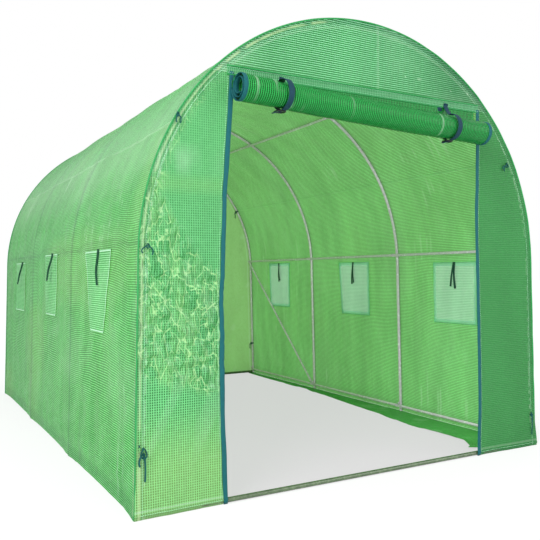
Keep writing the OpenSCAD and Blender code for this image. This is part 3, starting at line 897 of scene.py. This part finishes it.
def front_out(x, z):
    """How far the front sheets stand in front of their place."""
    edge = ramp(edge_in(x, z), 0.0, 0.05)
    hard = crumple(x, z, *CRUSH, 8) * 0.0105 + crumple(x, z, 0.04, 92) * 0.0042
    soft = rough(x, z, 0.3, 93) * 0.004 + noise(x / 0.035, z / 0.6, 94) * 0.0010
    pull = slanting(x, z) * 0.0026 * bump(z, 0.25, 0.3)
    hem = 0.002 * bump(z, 0.016, 0.006) - 0.003 * ramp(-z, -0.02, 0)
    flare = 0.006 * ramp(-z, -0.25, 0.0) * ramp(np.abs(x), 0.75, 1.0)
    taut = 0.12 + 0.88 * edge * ramp(np.abs(x) - np.where(x < 0, -JAMB_LEFT, JAMB_RIGHT), 0.0, 0.07)
    return (hard * (packed_zone(x, z) + 0.08) + soft + pull) * taut + 0.0015 * (1 - edge) + hem + flare


def front_marks_and_light(x, z):
    """Pale, dark, yellow and crumpled shares of the front panels' cloth, with painted light and shade on the
    crumpled facets and a painted pale-yellow highlight inside the left edge's piping.
    """
    left, packed, lean, inside = x < 0, packed_zone(x, z), facets(x, z, *CRUSH), edge_in(x, z)
    run = np.where(z > ARCH_Z, COVER_R * np.arcsin(np.clip((z - ARCH_Z) / COVER_R, 0, 1)), z)
    # A painted pale-yellow highlight band just inside the left edge's piping.
    tube = left * bump(inside, 0.012, 0.007) * ramp(noise(run / 0.07, x * 0, 197), -0.35, 0.2)
    stitched = bump(inside, 0.031, 0.004) * ramp(noise(run / 0.018, x * 0, 196), -0.3, 0.3)
    hem = 0.6 * bump(z, 0.03, 0.004) + 0.8 * bump(z, 0.188, 0.002) * bump(x, -0.73, 0.07)
    upper = 0.2 * bump(z, 1.29, 0.08) * ramp(noise(x / 0.05, z / 0.3, 198), -0.4, 0.6)
    slant = 0.077 * ramp(slanting(x, z), 0.2, 0.8) * (z < 0.5)
    # Packed facets get painted light and shade by how they lean.
    pale = (packed * 0.1 * ramp(lean, 0.4, 1.6) + 0.4 * stitched + hem * np.where(left, 1, 0.4)
            + left * (slant + upper) + 0.3 * tube)
    dark = (0.12 * packed * ramp(-lean, 0.5, 1.8) + 0.4 * bump(inside, 0.022, 0.006)
            + np.where(left, 0.75, 0.3) * bump(z, 0.008, 0.02))
    warm = left * (0.3 * ramp(-z, -0.42, -0.15) + 0.1 * bump(z, 1.2, 0.05)) + 0.4 * tube
    seam = 0.5 * left * bump(inside, 0.03, 0.05) * (z > 0.9) * (z < 1.6)
    return pale, dark * np.where(left, 1.0, 0.6), warm, np.maximum(packed, seam)


def add_front_panel(side):
    """The front sheet beside the doorway, from the cover's edge to the jamb."""
    name = SIDE_NAMES[side]
    columns, step = (100, 0.0042) if side < 0 else (60, 0.007)
    share, heights = np.linspace(0, 1, columns), lines(GROUND, HEAD_Z, step)

    def cut(s, z):
        edge = edge_of(side, z, FRONT_Y)
        return edge + (jamb_x(side, z) - edge) * s

    def place(s, z):
        x = cut(s, z)
        return x, FRONT_Y - front_out(x, z), z

    panel = add_sheet(
        f"front_{name}_sheet", share, heights, place, FRONT if side < 0 else FRONT_RIGHT,
        marks_and_light=lambda s, z: front_marks_and_light(cut(s, z), z), uv=lambda s, z: (cut(s, z), z)[::-side], flip=side > 0)
    finish_piece(panel, "end_sheet", f"front_{name}_cover")
    area = np.trapz(np.abs(side * half_width(heights) - jamb_x(side, heights)), heights)


def add_half_moon():
    """The front sheet over the doorway's head, up to the arch."""
    reach = float(half_width(HEAD_Z))

    def cut(s, t):
        x = s * reach * 0.9995
        return x, HEAD_Z + (ARCH_Z + np.sqrt(COVER_R**2 - x * x) - HEAD_Z) * t

    def place(s, t):
        x, z = cut(s, t)
        out = rough(x, z, 0.25, 97) * 0.003 + noise(x / 0.06, z / 0.5, 98) * 0.001
        out = (out + 0.003 * bump(x, 0.06, 0.012)) * (0.15 + 0.85 * ramp(t, 0, 0.1) * ramp(-t, -1, -0.8))
        return x, FRONT_Y - out - 0.0008, z

    def marks_and_light(s, t):
        x, z = cut(s, t)
        from_edge = COVER_R - np.hypot(x, z - ARCH_Z)
        # Specks on the right part are painted glints on the ribs; the purlin line is a painted shadow of the
        # purlin behind the sheet; the rim is a painted pale-yellow highlight just inside the piping on the
        # left.
        rib_glints = ramp(noise(x / 0.018, z / 0.03, 99), 0.88, 0.97) * (x > 0.15) * (z < ARCH_Z + 0.9)
        purlin_shadow = bump(z - ARCH_Z - 0.885 + 0.16 * (x - 0.42), 0, 0.008) * bump(x, 0.45, 0.16)
        rim_highlight = bump(from_edge, 0.011, 0.007) * ramp(-x, 0.1, 0.3)
        rim_highlight = rim_highlight * ramp(noise(x / 0.05, z / 0.05, 100), -0.5, 0.1)
        pale = (0.25 * bump(from_edge, 0.033, 0.005) + 0.35 * rim_highlight + 0.8 * rib_glints + 0.2 * ramp(-x, 0.45, 0.75)
                + 0.3 * bump(x, 0.06, 0.006) + 0.06 * ramp(rough(x, z, 0.15, 96), 0, 0.6))
        dark = 0.45 * bump(from_edge, 0.014, 0.016) + 0.5 * purlin_shadow + 0.8 * ramp(x, 0.15, 0.6)
        return pale, dark, 0.7 * rim_highlight

    piece = add_sheet("front_half_moon", np.linspace(-1, 1, 220), np.linspace(0, 1, 50), place, ARCH,
                      marks_and_light=marks_and_light, uv=lambda s, t: cut(s, t)[::-1], flip=True)
    finish_piece(piece, "end_sheet", "front_header_cover")


def add_back_wall():
    arc = COVER_R * np.sin(np.linspace(0, radians(89), 120))
    rows = np.concatenate([lines(GROUND, ARCH_Z, MESH_STEP)[:-1], ARCH_Z + arc])

    def cut(s, z):
        return s * half_width(z), z

    def place(s, z):
        x, _ = cut(s, z)
        edge = ramp(1 - np.abs(s), 0.0, 0.08) * ramp(-z, -COVER_TOP, -COVER_TOP + 0.1)
        out = rough(x, z, 0.4, 71) * 0.006 + crumple(x, z, 0.12, 72) * 0.0022
        out = out + noise((x + 0.4 * z) / 0.09, z / 0.7, 73) * 0.002 - 0.008 * ramp(-z, -0.2, 0) * edge
        return x, BACK_Y + out * (0.1 + 0.9 * edge) + 0.001, z

    def marks_and_light(s, z):
        x, _ = cut(s, z)
        from_edge = np.where(z > ARCH_Z, COVER_R - np.hypot(x, z - ARCH_Z), half_width(z) - np.abs(x))
        pale = 0.35 * bump(from_edge, 0.032, 0.005) + 0.16 * ramp(np.abs(crumple(x, z, 0.12, 72)), 0.75, 1.1)
        return pale, 0.4 * bump(from_edge, 0.014, 0.016), 0.04

    piece = add_sheet("back_wall_sheet", np.linspace(-1, 1, 190), rows, place, BACK, marks_and_light=marks_and_light, uv=cut)
    finish_piece(piece, "end_sheet", "back_wall_cover")


for way in (-1, 1):
    add_front_panel(way)
add_half_moon()
add_back_wall()


# ---- flaps on the ground ----

FLAP_EDGE = [  # place along the tunnel, -1 front to 1 back, and width
    (-0.915, 0.30), (-0.90, 0.292), (-0.87, 0.262), (-0.84, 0.232), (-0.72, 0.226), (-0.49, 0.219),
    (-0.2, 0.155), (0.09, 0.110), (0.48, 0.080), (1, 0.055)]
FLAP_INSET = 0.004


def add_flap(side):
    """The sheet turned in on the ground, with a wavy edge."""
    name = SIDE_NAMES[side]
    half, mid = (BACK_Y - FRONT_Y) / 2, (BACK_Y + FRONT_Y) / 2
    along = lines(FRONT_Y + FLAP_INSET, BACK_Y - FLAP_INSET, MESH_STEP)
    spots, widths = [mid + p * half for p, _ in FLAP_EDGE], [w for _, w in FLAP_EDGE]
    to_jamb = float(half_width(0)) - abs(JAMB_LEFT if side < 0 else JAMB_RIGHT) - 0.012

    def cut(s, y):
        wide = np.interp(y, spots, widths) + 0.006 * rough(y, y * 0, 0.2, 81 + side)
        wide = wide + (to_jamb - wide) * ramp(-y, -FRONT_Y - 0.075, -FRONT_Y - 0.02)
        wide = wide + 0.03 * bump(y, FRONT_Y + 0.115, 0.02) - 0.025 * bump(y, FRONT_Y + 0.08, 0.018)
        return s * wide

    def place(s, y):
        inward = cut(s, y)
        foot = np.abs(edge_of(side, 0 * y, y)) - 0.0015
        lift = 0.0045 * ramp(rough(inward * 1.5, y, 0.16, 83 + side), 0.0, 0.8) * ramp(s, 0.15, 0.5)
        curl = 0.006 * ramp(noise(y / 0.13, y * 0, 85 + side), 0.1, 0.9) * ramp(s, 0.8, 1.0)
        return side * (foot - inward), y, 0.0012 + lift + curl

    def marks_and_light(s, y):
        return 0.2 * ramp(rough(cut(s, y), y, 0.1, 86), 0.2, 0.7), 0.3 * bump(s, 1, 0.08), 0

    piece = add_sheet(f"{name}_flap_sheet", np.linspace(0, 1, 26), along, place, FLAP, marks_and_light=marks_and_light,
                      uv=lambda s, y: (cut(s, y), y), flip=side > 0)
    finish_piece(piece, "cover_sheet", f"{name}_ground_flap")
    wide = cut(np.ones_like(along), along)


for way in (-1, 1):
    add_flap(way)


# ---- piping and bindings ----

def arch_path(y, r):
    """The line of an end arch at radius r, foot to foot."""
    leg, arc = np.linspace(JOINT_G, FOOT_G, 70), np.linspace(-JOINT_G, JOINT_G, 200)
    g = np.concatenate([np.linspace(-FOOT_G, -JOINT_G, 70)[:-1], arc, leg[1:]])
    x, z = section(g, r - COVER_R)
    return pile(x, y + 0.0012 * noise(g / 0.07, g * 0, 51), np.maximum(z, 0.003))


def add_piping():
    """Cord sewn in where the cover meets the end sheets."""
    lots = [sweep(arch_path(y + way * 0.0015, COVER_R + 0.003), (0, 1, 0), ring(0.0034, 10))
            for y, way in ((FRONT_Y, -1), (BACK_Y, 1))]
    add_lots("edge_cord", lots, PIPING, "piping", "edge_piping")


def add_bindings():
    """Folded tape down each side of the doorway."""
    for side in (-1, 1):
        z = np.linspace(0.002, HEAD_Z + 0.004, 130)
        jamb = jamb_x(side, z)
        y = FRONT_Y - 0.003 - front_out(jamb + side * 0.004, z) + 0.0006 * noise(z / 0.03, z * 0, 44)
        width = 0.019 + 0.0015 * noise(z / 0.11, z * 0, 45 + side)
        outline = np.stack([oval(w, 0.0045, 10) for w in width])
        strip = sweep(pile(jamb - side * 0.008, y, z), (1, 0, 0), outline)
        nodes = ["door_bindings"] if side < 0 else []
        add_lots(f"{SIDE_NAMES[side]}_binding", [strip], BINDING, "binding", *nodes)


add_piping()
add_bindings()


# ---- rolled-up door ----

ROLL_R = (ROLL_HIGH.y - ROLL_LOW.y) / 2
ROLL_Y = (ROLL_HIGH.y + ROLL_LOW.y) / 2
ROLL_MID_X = (ROLL_HIGH.x + ROLL_LOW.x) / 2
ROLL_HALF = (ROLL_HIGH.x - ROLL_LOW.x) / 2
ROLL_FALL = 0.053  # the right end hangs this much lower
ROLL_MID_Z = ROLL_LOW.z + ROLL_R + ROLL_FALL / 2
STRAP_X = [ROLL_MID_X - ROLL_HALF + 0.191, ROLL_MID_X + ROLL_HALF - 0.215]
TURNS = 2.3
OUTER_LOSS = 0.0035  # the outermost turn's radius under the CAD roll's
TURN_LOSS = 0.0145  # the radius's loss per turn inwards
DROP_Z = BAND_LOW.z + 0.004  # where the door leaves the band


def roll_axis_z(x):
    sag = 0.006 * (1 - ((x - ROLL_MID_X) / ROLL_HALF) ** 2)
    return ROLL_MID_Z - (x - ROLL_MID_X) * (ROLL_FALL / (2 * ROLL_HALF)) - sag


def roll_radius(x, turn):
    """The roll's radius along its length, less for each turn inwards."""
    squeeze = sum(0.004 * bump(x, s, 0.06) for s in STRAP_X)
    lumps = 0.0022 * rough(x, turn * 0.25, 0.22, 131) + 0.0012 * crumple(x, turn * 0.4, 0.08, 132)
    return (ROLL_R - OUTER_LOSS - TURN_LOSS * turn) * (1 - 0.02 * np.sin(turn * 5)) - squeeze + lumps


def roll_point(x, turn):
    angle, r = turn * 2 * pi, roll_radius(x, turn)
    return x, ROLL_Y + r * np.cos(angle), roll_axis_z(x) - r * np.sin(angle)


def add_roll():
    """The door's sheet rolled up, its drop from the band, and the binding at the roll's ends."""
    x = lines(ROLL_LOW.x + 0.004, ROLL_HIGH.x - 0.004, 0.008)

    def marks_and_light(a, t):
        # Ridges are painted glints along the roll's ribs; the darkening at a quarter turn is painted shade on
        # the underside of each turn, and the roll also gets darker towards its right end.
        ridge_glint = ramp(noise(a / 0.01, t * 3, 134), 0.6, 0.95) * ramp(noise(a / 0.12, t * 2, 135), 0.1, 0.5)
        patch = 0.4 * ramp(noise(a / 0.3, t * 1.5, 136), 0.0, 0.7)
        return 0.34 * ridge_glint, patch + 0.3 * bump(t % 1, 0.25, 0.18) + 0.3 * ramp(a, 0.0, 0.5), 0

    roll = add_sheet("rolled_door", x, np.linspace(0, TURNS, 150), roll_point, ROLL, marks_and_light=marks_and_light,
                     uv=lambda a, t: (a, t * 2 * pi * ROLL_R))
    finish_piece(roll, "door_sheet", "door_roll")

    def hang(a, t):
        _, y, z = roll_point(a, 0 * a)
        return a, y + (BAND_LOW.y + 0.002 - y) * t - 0.002 * np.sin(t * pi), z + (DROP_Z - z) * t

    drop = add_sheet("door_drop", x, np.linspace(0, 1, 8), hang, ROLL, uv=lambda a, t: (a, t * 0.08))
    finish_piece(drop, "door_sheet")

    t = np.linspace(0, TURNS, 170)
    ends = [np.full_like(t, end) for end in (ROLL_LOW.x + 0.010, ROLL_HIGH.x - 0.010)]
    lots = [sweep(pile(*roll_point(end, t)), (1, 0, 0), oval(0.019, 0.0036, 8)) for end in ends]
    add_lots("roll_end_binding", lots, BINDING, "binding")


def add_band():
    """The strip over the doorway that the rolled door hangs from, corded at both edges."""
    def place(a, t):
        y = BAND_LOW.y + 0.0008 + 0.0015 * noise(a / 0.12, t * 2, 141)
        return a, y, BAND_LOW.z + (BAND_HIGH.z - BAND_LOW.z) * t

    band = add_sheet(
        "header_band_sheet", lines(BAND_LOW.x, BAND_HIGH.x, 0.01), np.linspace(0, 1, 7), place, BAND,
        uv=lambda a, t: (a, t * 0.034),
        marks_and_light=lambda a, t: (0.12 * bump(t, 0.5, 0.4), 0.6 * ramp(t, 0.8, 1), 0))
    finish_piece(band, "end_sheet", "header_band")
    x = np.linspace(BAND_LOW.x, BAND_HIGH.x, 120)
    for label, z, size in (("top", BAND_HIGH.z, 0.0032), ("low", BAND_LOW.z, 0.0026)):
        path = pile(x, BAND_LOW.y + 0.001, z + 0.001 * noise(x / 0.1, x * 0, 143))
        add_lots(f"band_{label}_cord", [sweep(path, (0, 1, 0), ring(size, 8))], PIPING, "piping")


def add_straps():
    """Two straps round the roll, each from the band, with a buckle and a short tail below."""
    lots, buckles = [], []
    for x0 in STRAP_X:
        angles = np.linspace(radians(88), radians(352), 46)
        r = roll_radius(np.full_like(angles, x0), 0 * angles) + 0.004
        wrap = pile(x0, ROLL_Y + r * np.cos(angles), roll_axis_z(x0) + r * np.sin(angles))
        top = [[x0 + 0.034, BAND_LOW.y - 0.005, BAND_LOW.z + 0.018],
               [x0 + 0.028, BAND_LOW.y - 0.005, BAND_LOW.z + 0.002]]
        back = [[x0, ROLL_Y + r[-1] + 0.0015, HEAD_Z - 0.03], [x0, ROLL_Y + r[-1] + 0.001, HEAD_Z - 0.008]]
        path = curve_through(np.concatenate([top, wrap[::3], back]), 90)
        path[:, 0] += 0.004 * np.sin(np.linspace(0, 5, 90)) + 0.006 * np.sin(np.linspace(0, pi, 90))
        lots.append(sweep(path, (1, 0, 0), oval(0.026, 0.0026, 10)))
        low = np.array([x0 - 0.004, ROLL_Y + 0.012, roll_axis_z(x0) - r[0] - 0.004])
        tail = low + [[0, 0, 0], [-0.012, -0.012, -0.006], [-0.028, -0.016, -0.008], [-0.042, -0.012, -0.014]]
        lots.append(sweep(curve_through(tail, 14), (0, 1, 0.2), oval(0.022, 0.0024, 8)))
        loop = low + [[x, y, 0] for x, y in ((-0.017, -0.013), (0.017, -0.013), (0.017, 0.013),
                                             (-0.017, 0.013), (-0.017, -0.013))]
        buckles.append(sweep(curve_through(loop, 25), (0, 0, 1), ring(0.0032, 8)))
        bar = low + [[0, -0.013, 0.001], [0, 0, 0.002], [0, 0.013, 0.001]]
        buckles.append(sweep(bar, (0, 0, 1), ring(0.0026, 8)))
    add_lots("roll_strap_webbing", lots, STRAP, "strap", "roll_straps")
    add_lots("strap_buckles", buckles, BUCKLE, "strap")


add_roll()
add_band()
add_straps()


# ---- ties on the end hoops ----

FRONT_KNOTS = {  # x, z, size and the tails' sideways swing and length
    "front_left_low_tie": (-1.004, 0.236, 1.8, ((-0.15, 0.10), (0.5, 0.045))),
    "front_left_high_tie": (-0.868, 1.452, 0.8, ((-0.3, 0.032), (0.2, 0.031))),
    "front_right_low_tie": (1.004, 0.16, 0.9, ((-0.05, 0.10), (-0.15, 0.05))),
    "front_right_high_tie": (0.848, 1.392, 1.1, ((0.9, 0.020), (0.6, 0.030))),
    "front_left_middle_tie": (-0.984, 0.97, 0.85, ((0.7, 0.026), (-0.5, 0.032))),
}
BACK_TAILS = ((0.35, 0.055), (-0.55, 0.045))


def add_tail(name, path, thick):
    """A cord along a path."""
    curve = bpy.data.curves.new(name, "CURVE")
    curve.dimensions, curve.bevel_depth, curve.bevel_resolution = "3D", thick / 2, 3
    curve.use_fill_caps = True
    spline = curve.splines.new("POLY")
    spline.points.add(len(path) - 1)
    spline.points.foreach_set("co", np.hstack([path, np.ones((len(path), 1))]).ravel())
    tail = finish_piece(add_object(name, curve, TEAL_TIE), "strap")


def add_ties():
    """Loops round the end hoops, their knots, and two tails from each knot."""
    lots, knots = [], []
    t = circle(24)
    tight = np.abs(np.cos(t)) ** 8 * (np.cos(t) > 0)
    spots = [(hoop, y, way, side, label, angle, below)
             for hoop, y, way in (("front", HOOP_Y[0], 1), ("back", HOOP_Y[3], -1)) for side in (-1, 1)
             for label, angle, below in (("low", LEAN, ARCH_Z - 0.24), ("high", WELD_A, 0.0))]
    for hoop, y, way, side, label, angle, below in spots:
        name = f"{hoop}_{SIDE_NAMES[side]}_{label}_tie"
        place, radial = on_hoop(side, y, angle, below, ARCH_R)
        loop = pile((TUBE_R + 0.0016) * np.cos(t) - tight * 0.0012, (TUBE_R + 0.0016) * np.sin(t))
        loop = place + loop @ np.array([radial, (0, 1, 0)])
        lots.append(sweep(loop, np.cross(radial, (0, 1, 0)), oval(0.011, 0.0014, 8), closed=True))
        inner = place - radial * (TUBE_R + 0.006) + np.array([0, way * 0.004, 0])
        knots.append((name, inner, radial, way, *FRONT_KNOTS.get(name, (0, 0, 1.0, BACK_TAILS))[2:]))
    knots.append(("front_left_middle_tie", None, None, -1, *FRONT_KNOTS["front_left_middle_tie"][2:]))
    u = circle(29)
    for name, knot, radial, way, size, tails in knots:
        outside = name in FRONT_KNOTS
        if outside:
            x, z = FRONT_KNOTS[name][:2]
            knot = np.array([x, FRONT_Y - 0.007 - front_out(np.array(x), np.array(z)), z])
        twist = pile(0.006 * np.cos(u), (0.004 if outside else 0.007) * np.sin(2 * u), 0.009 * np.sin(u))
        lots.append(sweep(knot + size * twist, (0.3, 1, 0.2), oval(0.007 * size, 0.004, 8), closed=True))
        for j, (swing, length) in enumerate(tails):
            s = np.linspace(0, 1, 20)[:, None]
            drop = np.array([0, 0, -1]) * length * s**1.25
            aside = swing * np.sin(s * 2.2)
            if outside:
                out = np.array([-0.035, 0, 0]) * aside + np.array([0, -0.003, 0]) * np.sin(s * 3)
            else:
                out = -radial * 0.010 * np.sin(s * pi * 0.8) + np.array([0, way * 0.03, 0]) * aside
            path = knot + drop + out * np.array([1, 1, 0.4])
            path[:, 2] = np.maximum(path[:, 2], 0.006)
            add_tail(f"{name}_tail_{j + 1}", path, 0.0046 * min(max(size, 1.0), 1.5))
    add_lots("hoop_tie_knots", lots, TEAL_TIE, "strap", "hoop_ties")


add_ties()


# ---- bolts and stitching ----

BOLT_R = 0.0055
STITCH, STITCH_GAP, STITCH_R = 0.0055, 0.0035, 0.0007


def hex_bolt(place, axis):
    """A bolt head on a washer, standing along axis."""
    side = unit(np.cross(axis, (0.3, 0.2, 1.0)))
    parts = ((BOLT_R * 1.35, 0, 0.0012, 20), (BOLT_R, 0.0012, 0.005, 6), (BOLT_R * 0.72, 0.005, 0.0056, 6))
    return [sweep([place + axis * low, place + axis * high], side, ring(r, steps))
            for r, low, high, steps in parts]


def add_bolts():
    """Bolts on the inside of each hoop, at its rails and at the ground bars."""
    lots = []
    for side in (-1, 1):
        for y in HOOP_Y:
            plates = 0.006 if y in HOOP_Y[1:3] else 0.0033
            for angle, below in ((SIDE_PURLIN_A, 0), (ROOF_PURLIN_A, 0), (LEAN, ARCH_Z - 0.03)):
                inner, radial = on_hoop(side, y, angle, below, ARCH_R - TUBE_R)
                lots += hex_bolt(inner - radial * plates, -radial)
    add_lots("frame_bolts", lots, STEEL, "steel_tube", smooth=False)


def stitches(path):
    """A row of small raised stitches along a path on the front."""
    run = np.concatenate([[0], np.cumsum(np.linalg.norm(np.diff(path, axis=0), axis=1))])
    lots, normal = [], np.array([0.0, -1.0, 0.0])
    for start in np.arange(0.002, run[-1] - STITCH, STITCH + STITCH_GAP):
        at = pile(*(np.interp(start + np.array([0, 0.5, 1]) * STITCH, run, path[:, k]) for k in range(3)))
        at[1] += normal * 0.0005
        lots.append(sweep(at, np.cross(normal, at[2] - at[0]), ring(STITCH_R, 4)))
    return lots


def add_stitching():
    """Stitches round the front arch, along the band, beside the doorway and over the front hems."""
    arc = arch_path(FRONT_Y, COVER_R - 0.024)
    arc[:, 1] = FRONT_Y - 0.0016 - front_out(arc[:, 0], arc[:, 2]) * (arc[:, 2] < HEAD_Z)
    x = np.linspace(BAND_LOW.x, BAND_HIGH.x, 60)
    rows = [arc, *(pile(x, BAND_LOW.y - 0.0012, z) for z in (BAND_HIGH.z - 0.006, BAND_LOW.z + 0.006))]
    for side in (-1, 1):
        z = np.linspace(0.02, HEAD_Z - 0.01, 80)
        x = jamb_x(side, z) + side * 0.006
        rows.append(pile(x, FRONT_Y - 0.0012 - front_out(x, z), z))
        x = np.linspace(side * 1.02, float(jamb_x(side, 0.016)), 40)
        z = np.full_like(x, 0.018)
        rows.append(pile(x, FRONT_Y - 0.002 - front_out(x, z), z))
    add_lots("seam_stitches", [lot for row in rows for lot in stitches(row)], THREAD, "piping", smooth=False)


add_bolts()
add_stitching()


# ---- the CAD's own nodes that stay ----

for node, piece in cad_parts.items():
    if not piece.hide_render:
        piece.data.materials.clear()
        piece.data.materials.append(BAR_STEEL if node.endswith("ground_bar") else STEEL)

bpy.context.scene.view_settings.view_transform = "Standard"
